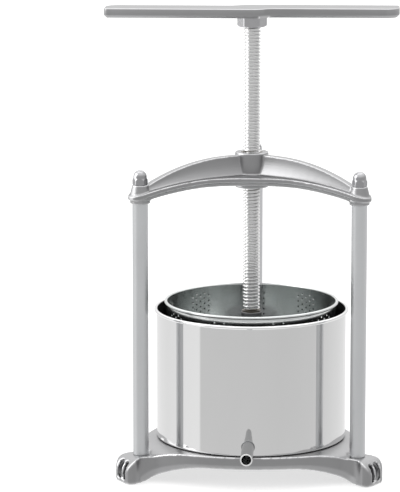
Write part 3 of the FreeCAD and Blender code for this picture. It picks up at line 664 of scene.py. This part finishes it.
# %% Cast skins
def cast_skin(node, name, cell, passes):
    """Points and faces (in millimetres) of an even skin round a node's welded copy.

    The skin's squares are about cell across, and each pass moves every point half way to the
    middle of its neighbours."""
    shape = bmesh.new()
    shape.from_mesh(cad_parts[node].data)
    bmesh.ops.remove_doubles(shape, verts=shape.verts, dist=1e-6)
    mesh = bpy.data.meshes.new(name + "_copy")
    shape.to_mesh(mesh)
    shape.free()
    copy = bpy.data.objects.new(name + "_copy", mesh)
    bpy.context.scene.collection.objects.link(copy)
    skin = copy.modifiers.new("skin", "REMESH")
    skin.mode, skin.voxel_size = "VOXEL", cell * MM
    relax = copy.modifiers.new("relax", "SMOOTH")
    relax.factor, relax.iterations = 0.5, passes
    made = copy.evaluated_get(bpy.context.evaluated_depsgraph_get()).data
    points = np.empty(len(made.vertices) * 3, dtype=np.float32)
    made.vertices.foreach_get("co", points)
    faces = np.empty(len(made.polygons) * 4, dtype=np.int32)
    made.polygons.foreach_get("vertices", faces)
    bpy.data.objects.remove(copy)
    bpy.data.meshes.remove(mesh)
    return points.reshape(-1, 3).astype(float) / MM, faces.reshape(-1, 4)


print("cast skins ready")


# %% [markdown]
# The crossbar carries the whole load of the screw, so it is an arched flange with a tall
# hollow-sided rib on each arm.  A coarse skin would swallow the narrow lips of those ribs, so its
# skin is the finer of the two.

# %% The crossbar
bar_points, bar_faces = cast_skin("crossbar", "crossbar", 0.9, 2)
crossbar = make_piece("crossbar_body", bar_points, bar_faces, "frame", "cast_aluminium",
                      ["crossbar"])
coat(crossbar, cast_aluminium)


# %% [markdown]
# ## The base's skirt
# Round the foot of the skirt runs a sloping band that follows the arch.  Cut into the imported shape,
# its edges would be relaxed away with the rest, so it is made on the skin.  The skin's outer points
# below the band's upper line are moved inwards, more the lower they are, on each of the three sides
# in turn.

# %% The base
base_low = node_box("base_casting")[0]
SIDE, SIDE_RADIUS = -base_low[1], 223.0
ARCH, ARCH_FLAT, ARCH_FOOT = 22.0, 45.0, 119.0
BAND, BAND_GROWTH = 4.6, 5.5
BAND_DEPTH, DEPTH_GROWTH = 2.6, 1.6
SWELL_START, SWELL_LENGTH = 50.0, 60.0
SKIN_REACH, LEG_START, PAST_MIDDLE = 6.0, 124.0, 60.0


def skirt_band(points):
    """Moves each long side's foot inwards: depth x how far below the band's top line it lies.

    Band and depth both grow evenly towards the feet, over SWELL_LENGTH."""
    moved = points.copy()
    for turn in (0, 2 * np.pi / 3, -2 * np.pi / 3):
        c, s = np.cos(turn), np.sin(turn)
        across = moved[:, 0] * c + moved[:, 1] * s
        outward = moved[:, 0] * s - moved[:, 1] * c
        beyond = np.maximum(np.abs(across) - ARCH_FLAT, 0)
        arch = ARCH - beyond ** 2 * ARCH / (ARCH_FOOT - ARCH_FLAT) ** 2
        swell = np.clip((np.abs(across) - SWELL_START) / SWELL_LENGTH, 0, 1)
        band = BAND + BAND_GROWTH * swell
        low = np.clip((arch + band - moved[:, 2]) / band, 0, 1)
        skin = SIDE - SIDE_RADIUS + np.sqrt(np.maximum(SIDE_RADIUS ** 2 - across ** 2, 0))
        near = (np.clip(1 - (skin - outward - 1.0) / SKIN_REACH, 0, 1)
                * (np.abs(across) < LEG_START) * (outward > PAST_MIDDLE))
        shift = low * near * (BAND_DEPTH + DEPTH_GROWTH * swell)
        moved[:, 0] -= shift * s
        moved[:, 1] += shift * c
    return moved


base_points, base_faces = cast_skin("base_casting", "base", 1.4, 2)
base = make_piece("base_body", skirt_band(base_points), base_faces, "frame", "cast_aluminium",
                  ["base_casting"])
coat(base, cast_aluminium)


# %% [markdown]
# ## Perforated sheet
# The basket's wall is a rolled sheet with real holes.  A see-through pattern would have no
# thickness, and a thousand Booleans would be slow.  So the sheet is a lattice of small squares.
# Where a hole goes, a block of 4 x 4 squares is left out and its sixteen edge points are joined to
# a ring of sixteen points round the hole, on the outer face and on the inner face, with a barrel
# between them.

# %% Sheet with holes
EDGE_WALK = np.array([(0, 0), (1, 0), (2, 0), (3, 0), (4, 0), (4, 1), (4, 2), (4, 3),
                      (4, 4), (3, 4), (2, 4), (1, 4), (0, 4), (0, 3), (0, 2), (0, 1)])


def holed_wall(radius, thickness, angles, heights, blocks, hole_radius):
    """Cylinder wall on a lattice of angles x heights; blocks are the holes' (column, row) corners.

    A hole's edge is a circle laid on the cylinder: angle + radius cos t / wall radius,
    height + radius sin t."""
    columns, rows = len(angles), len(heights)
    blocks = np.asarray(blocks)
    covered = np.zeros((rows - 1, columns), dtype=bool)
    reach = np.arange(4)
    covered[(blocks[:, 1, None, None] + reach[None, :, None]),
            (blocks[:, 0, None, None] + reach[None, None, :]) % columns] = True
    edge = ((blocks[:, None, 1] + EDGE_WALK[None, :, 1]) * columns
            + (blocks[:, None, 0] + EDGE_WALK[None, :, 0]) % columns)
    middle_angle = angles[(blocks[:, 0] + 2) % columns]
    middle_height = heights[blocks[:, 1] + 2]
    turn = np.radians(-135 + 22.5 * np.arange(16))
    sheets = []
    for r in (radius, radius - thickness):
        lattice = np.stack([r * np.cos(angles)[None, :] + 0 * heights[:, None],
                            r * np.sin(angles)[None, :] + 0 * heights[:, None],
                            heights[:, None] + 0 * angles[None, :]], -1).reshape(-1, 3)
        hole_angle = middle_angle[:, None] + hole_radius * np.cos(turn)[None, :] / radius
        hole_height = middle_height[:, None] + hole_radius * np.sin(turn)[None, :]
        ring = np.stack([r * np.cos(hole_angle), r * np.sin(hole_angle), hole_height],
                        -1).reshape(-1, 3)
        sheets.append(np.concatenate([lattice, ring]))
    per_sheet = len(sheets[0])
    ring_index = rows * columns + np.arange(len(blocks) * 16).reshape(-1, 16)
    plain = grid_faces(rows, columns)[~covered.reshape(-1)]
    collar = np.stack([edge, np.roll(edge, -1, 1), np.roll(ring_index, -1, 1), ring_index],
                      -1).reshape(-1, 4)
    face = np.concatenate([plain, collar])
    barrel = np.stack([ring_index, np.roll(ring_index, -1, 1),
                       np.roll(ring_index, -1, 1) + per_sheet, ring_index + per_sheet],
                      -1).reshape(-1, 4)
    rim = []
    for row in (0, rows - 1):
        line = row * columns + np.arange(columns)
        following = np.roll(line, -1)
        rim.append(np.stack([line, following, following + per_sheet, line + per_sheet], -1))
    return np.concatenate(sheets), np.concatenate([face, face[:, ::-1] + per_sheet, barrel] + rim)


def rim_bead(radius, height, size, segments, angles=None):
    """Rolled rim: the sheet curls outwards into a full round, a ring r = radius + size cos t."""
    turn = np.linspace(0, 2 * np.pi, 28, endpoint=False)
    return spin(np.stack([radius + size * np.cos(turn), height + size * np.sin(turn)], -1),
                segments, angles=angles)


print("edge points round a block:", len(EDGE_WALK))


# %% [markdown]
# The holes come in nine upright strips with plain sheet between, which keeps the wall stiff.  Each
# strip has five columns of holes, every second one half a step higher, and the lattice is finer
# there than in the plain sheet.  The rolled rim is a ring of its own on the top edge.

# %% The basket
STRIPS, STRIP_COLUMNS, HOLE_ROWS = 9, 5, 22
HOLE_STEP, COLUMN_STEP, HOLE_RADIUS = 6.3, 6.0, 1.05
low, high = node_box("basket")
bead, sheet = 1.8, 1.0
HOLES_BELOW_RIM, PLAIN_COLUMNS = 12.0, 10
basket_radius = high[0] - 2 * bead + sheet
strip_turn = STRIP_COLUMNS * COLUMN_STEP / basket_radius
sector = 2 * np.pi / STRIPS
in_sector = np.concatenate([np.linspace(0, strip_turn, STRIP_COLUMNS * 4 + 1)[:-1],
                            np.linspace(strip_turn, sector, PLAIN_COLUMNS)[:-1]])
angles = ((np.arange(STRIPS)[:, None] * sector + in_sector[None, :]).reshape(-1)
          + np.pi / 2 - strip_turn / 2)
first_row = high[2] - HOLES_BELOW_RIM - HOLE_STEP * (HOLE_ROWS - 0.5)
heights = np.concatenate([[low[2], low[2] + 6.0],
                          first_row + HOLE_STEP / 4 * np.arange(HOLE_ROWS * 4 + 3),
                          [high[2] - bead]])
strip, column, row = np.meshgrid(np.arange(STRIPS), np.arange(STRIP_COLUMNS), np.arange(HOLE_ROWS),
                                 indexing="ij")
blocks = np.stack([strip * len(in_sector) + column * 4, 2 + row * 4 + (column % 2) * 2],
                  -1).reshape(-1, 2)
wall = holed_wall(basket_radius, sheet, angles, heights, blocks, HOLE_RADIUS)
basket_rim = rim_bead(basket_radius - sheet + bead, high[2] - bead, bead, 192)
basket = make_piece("basket_sheet", *together(wall, basket_rim), "basket",
                    "perforated_stainless", ["basket"])
coat(basket, satin_steel)
print("holes in the basket:", len(blocks))


# %% [markdown]
# ## The juice drum
# The drum is one deep-drawn shell: flat bottom, a small corner radius, a straight wall and a rolled
# rim.  A spun profile would make all of it except the hole for the outlet tube.  So its wall is the
# same kind of lattice as the basket's with a single hole, and bottom and rim are spun in the same
# steps, so that they meet it point for point.

# %% The drum
low, high = node_box("drum")
drum_bead = 2.0
drum_radius = high[0] - 2 * drum_bead + sheet
spout_low, spout_high = node_box("spout")
outlet_height = (spout_low[2] + spout_high[2]) / 2
around = 168
angles = np.arange(around) * (2 * np.pi / around)
front = int(round(around * 0.75))
corner, outlet_hole = 3.0, 5.4
heights = np.concatenate([[low[2] + corner], outlet_height + np.array([-6.4, -3.2, 0, 3.2, 6.4]),
                          np.linspace(outlet_height + 12, high[2] - drum_bead, 24)])
heights[0] = min(heights[0], heights[1] - 0.1)
wall = holed_wall(drum_radius, sheet, angles, heights, [(front - 2, 1)], outlet_hole)
bottom_outer = arc(drum_radius - corner, low[2] + corner, corner, 270, 360, 8)
bottom_inner = arc(drum_radius - corner, low[2] + corner, corner - sheet, 360, 270, 8)
bottom = np.concatenate([[(0, low[2])], bottom_outer, bottom_inner, [(0, low[2] + sheet)]])
drum_rim = rim_bead(drum_radius - sheet + drum_bead, high[2] - drum_bead, drum_bead, around, angles)
drum = make_piece("drum_shell", *together(wall, spin(bottom, around, angles=angles), drum_rim),
                  "drum", "sheet_stainless", ["drum"])
coat(drum, drum_steel)


# %% [markdown]
# The juice leaves through a short tube welded into the drum's foot.  The tube is a spun ring laid
# on its side.  The weld could be a torus, but a flat ring would stand off the curved wall.  So it
# is a small rounded lip that follows the line where the tube meets the drum: its depth comes from
# the drum's circle, and a slight ripple stands for the beads of weld metal.

# %% The outlet tube and its weld
TUBE_WALL, TUBE_INSIDE_DRUM = 1.5, 3.0
WELD_OFFSET, WELD_SIZE, WELD_RIPPLE, WELD_BEADS = 0.2, 0.7, 0.08, 36


def along_front(points):
    """Lays a shape that was spun upright on its side, facing front: (x, y, z) to (x, -z, y)."""
    return np.stack([points[:, 0], -points[:, 2], points[:, 1] + outlet_height], -1)


tube_radius = (spout_high[0] - spout_low[0]) / 2
tube_root, tube_tip = drum_radius - TUBE_INSIDE_DRUM, -spout_low[1]
tube = rounded([(tube_radius, tube_root, 0.2), (tube_radius, tube_tip, 0.35),
                (tube_radius - TUBE_WALL, tube_tip, 0.35),
                (tube_radius - TUBE_WALL, tube_root, 0.2)])
tube_points, tube_faces = spin(tube, 64)
outlet = make_piece("outlet_tube", along_front(tube_points), tube_faces, "drum",
                    "sheet_stainless", ["spout"])
flatten_big_faces(coat(outlet, tube_steel))

turn = np.linspace(0, 2 * np.pi, 72, endpoint=False)[None, :]
lip = np.linspace(0, 2 * np.pi, 14, endpoint=False)[:, None]
lip = np.concatenate([lip, lip[:1]])
reach = (tube_radius + WELD_OFFSET
         + (WELD_SIZE + WELD_RIPPLE * np.sin(turn * WELD_BEADS)) * np.cos(lip))
weld_x, weld_z = reach * np.sin(turn), reach * np.cos(turn)
weld_y = -np.sqrt(drum_radius ** 2 - weld_x ** 2) - 0.8 * np.sin(lip)
weld_points = np.stack([weld_x, weld_y, weld_z + outlet_height], -1).reshape(-1, 3)
weld_faces = grid_faces(len(lip), turn.shape[1])
weld = make_piece("outlet_weld", weld_points, weld_faces, "drum", "sheet_stainless",
                  ["spout_collar"])
coat(weld, tube_steel)


# %% [markdown]
# ## The press plate and its hub
# The plate is the disc that presses the fruit, and the hub is the socket in its middle that holds
# the screw's neck.  Both are turned parts, so both are spun profiles, and their rounded edges catch
# a little light inside the basket.

# %% Plate and hub
low, high = node_box("press_plate")
plate = rounded([(0, low[2], 0), (high[0], low[2], 0.9), (high[0], high[2], 0.9), (0, high[2], 0)])
disc = make_piece("plate_disc", *spin(plate, 160), "plate", "sheet_stainless", ["press_plate"])
flatten_big_faces(coat(disc, satin_steel))

low, high = node_box("plate_hub")
hub_bore, hub_radius, flange = 6.05, 12.0, 5
hub = rounded([(hub_bore, low[2], 0), (high[0], low[2], 0), (high[0], low[2] + flange, 1.0),
               (hub_radius + 4, low[2] + flange, 1.5),
               (hub_radius, low[2] + flange + hub_radius / 2, 2.5), (hub_radius, high[2], 0.8),
               (hub_bore, high[2], 0.3)])
socket = make_piece("hub_socket", *spin(hub, 96), "plate", "hub_steel", ["plate_hub"])
flatten_big_faces(coat(socket, hub_steel))


# %% [markdown]
# ## Room and light
# Polished steel shows the room more than itself.  An image of a studio could be wrapped round the
# press, but ramps are easier to change one wall at a time.  The room here is a white studio: bright
# behind and above, a broad white wall on the left, and a slightly greyer side towards the viewer.
# Directions are turned into an angle round the press, and a ramp gives the brightness at each
# angle.

# %% Studio
world = bpy.data.worlds.new("studio")
bpy.context.scene.world = world
sky = Finish(world)
direction = sky.node("ShaderNodeTexCoord", output="Generated")
split = sky.node("ShaderNodeSeparateXYZ", {}, {0: direction})
side_x = Value(sky, split.socket.node.outputs["X"])
side_y = Value(sky, split.socket.node.outputs["Y"])
up = Value(sky, split.socket.node.outputs["Z"])
bearing = sky.node("ShaderNodeMath", {"operation": "ARCTAN2"}, {0: side_x, 1: 0.0 - side_y})
share = bearing / (2 * np.pi) + 0.5
walls = sky.ramp(share, [(0.0, 0.95), (0.16, 0.88), (0.322, 0.93), (0.328, 0.67), (0.60, 0.65),
                         (0.73, 0.67), (0.78, 0.74), (1.0, 0.95)])
lift = sky.ramp(up * 0.5 + 0.5, [(0.0, 0.62), (0.40, 0.385), (0.5, 0.4), (0.64, 0.44),
                                 (0.82, 0.75), (1.0, 0.95)])
brightness = walls * lift * 2.5
seen = sky.node("ShaderNodeLightPath", output="Is Camera Ray")
shown = seen * 1.0 + (1.0 - seen) * brightness
backdrop = sky.node("ShaderNodeBackground", {}, {"Color": (1, 1, 1, 1), "Strength": shown})
sky.node("ShaderNodeOutputWorld", {}, {"Surface": backdrop})

print("studio walls and ceiling set")


# %% [markdown]
# The floor is pale paper.  It gives off a little light of its own, as a lit table does, so the
# shadow under the press stays faint; lamps alone would either burn it out or leave it grey.
# Reflections pass it by and show the white room instead.

# %% Floor
floor_mesh = bpy.data.meshes.new("floor")
floor_mesh.from_pydata([(-4, -4, 0), (4, -4, 0), (4, 6, 0), (-4, 6, 0)], [], [(0, 1, 2, 3)])
floor = bpy.data.objects.new("floor", floor_mesh)
bpy.context.scene.collection.objects.link(floor)
floor.location.z = -0.0006
floor.visible_glossy = False
paper = bpy.data.materials.new("paper")
sheet_finish = Finish(paper)
matte = sheet_finish.node("ShaderNodeBsdfPrincipled", {},
                          {"Base Color": sheet_finish.tint(sheet_finish.grain((3, 3, 3)),
                                                           (0.42, 0.42, 0.42), (0.45, 0.45, 0.45)),
                           "Roughness": 0.8,
                           "Emission Color": (1, 1, 1, 1), "Emission Strength": 0.62})
sheet_finish.node("ShaderNodeOutputMaterial", {}, {"Surface": matte})
coat(floor, paper)
print("floor:", floor.name)


# %% [markdown]
# Two large softboxes give soft shadows: one on the left, one above.  A third, tall one stands close
# on the left and is linked to the crossbar, the base, the nuts and the screw only, as a flagged
# lamp would be.  Their left sides shine, while the polished drum shows the plain room without a
# white stripe.

# %% Softboxes
def softbox(name, place, aim, width, height, watts):
    """A rectangular area light at a place, turned to face a point.

    Tilt and bearing are the arctangents of the way from the point back to the lamp."""
    light = bpy.data.lights.new(name, "AREA")
    light.shape = "RECTANGLE"
    light.size, light.size_y, light.energy = width, height, watts
    lamp = bpy.data.objects.new(name, light)
    bpy.context.scene.collection.objects.link(lamp)
    lamp.location = place
    lamp.visible_camera = False
    away = np.array(place) - np.array(aim)
    lamp.rotation_euler = (np.arctan2(np.hypot(away[0], away[1]), away[2]), 0,
                           np.arctan2(away[0], -away[1]))
    return lamp


softbox("key_left", (-2.4, -0.9, 1.6), (0, 0, 0.3), 1.6, 2.0, 14)
softbox("top_fill", (0.2, 0.5, 2.6), (0, 0, 0.3), 2.2, 2.2, 8)

side_lit = bpy.data.collections.new("side_lit")
for piece in (crossbar, base, caps_piece, screw, lock_nut):
    side_lit.objects.link(piece)
side_strip = softbox("side_strip", (-1.1, 0.0, 0.62), (0, 0, 0.62), 0.95, 1.2, 6.5)
side_strip.light_linking.receiver_collection = side_lit


# %% [markdown]
# ## Camera
# A long lens from nearly four metres away keeps the columns almost parallel, as in catalogue
# pictures.  The camera stands some 0.4 m above the top of the press and looks down by about eleven
# degrees, so the basket's mouth shows as a narrow ellipse.

# %% Camera
camera_data = bpy.data.cameras.new("camera")
camera = bpy.data.objects.new("camera", camera_data)
bpy.context.scene.collection.objects.link(camera)
bpy.context.scene.camera = camera
camera_data.sensor_fit = "VERTICAL"
camera_data.sensor_height = 36.0
camera_data.lens = 245.8
camera_data.clip_end = 50
camera.location = (0.1172, -3.8325, 0.9824)
camera.rotation_euler = (np.pi / 2 - 0.18582, 0, 0.04617)
bpy.context.scene.view_settings.view_transform = "Standard"
print("camera at", tuple(round(v, 3) for v in camera.location))
